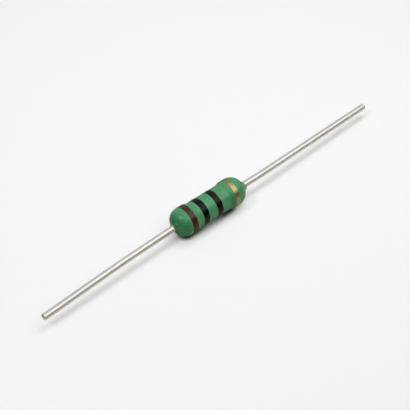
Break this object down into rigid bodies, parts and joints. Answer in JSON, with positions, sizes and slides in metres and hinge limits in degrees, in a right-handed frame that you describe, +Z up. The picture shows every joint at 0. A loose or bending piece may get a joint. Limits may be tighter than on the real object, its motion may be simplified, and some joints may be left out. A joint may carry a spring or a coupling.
{
  "type": "wirewound resistor",
  "caption": "Axial wirewound resistor with a waisted, lacquered body, painted colour bands and a straight wire lead at each end, for limiting current in a circuit.",
  "frame": {"origin": "on the surface that the body lies on, halfway between the tips of the leads and under the body's axis", "axes": "+X along the part, from the tip of the lead beside the brown band to the tip of the lead beside the gold band; +Z up from the surface"},
  "size_m": [0.0536, 0.0038, 0.0038],
  "materials": {
    "lacquer": "smooth dark green lacquer, satin gloss",
    "brown_paint": "brown band paint, satin gloss",
    "black_paint": "black band paint, satin gloss",
    "gold_paint": "gold band paint with fine metal flakes",
    "tinned_copper": "drawn copper wire, tinned, with fine lengthwise drawing lines",
    "cap_steel": "drawn sheet steel, plated",
    "ceramic": "unglazed white ceramic",
    "resistance_wire": "bare nickel chrome wire, lightly oxidised"
  },
  "bodies": {
    "root": {"lacquer_coating": "lacquer", "brown_band": "brown_paint", "first_black_band": "black_paint", "second_black_band": "black_paint", "gold_band": "gold_paint", "left_lead": "tinned_copper", "right_lead": "tinned_copper", "left_end_cap": "cap_steel", "right_end_cap": "cap_steel", "ceramic_core": "ceramic", "resistance_winding": "resistance_wire"}
  },
  "joints": []
}
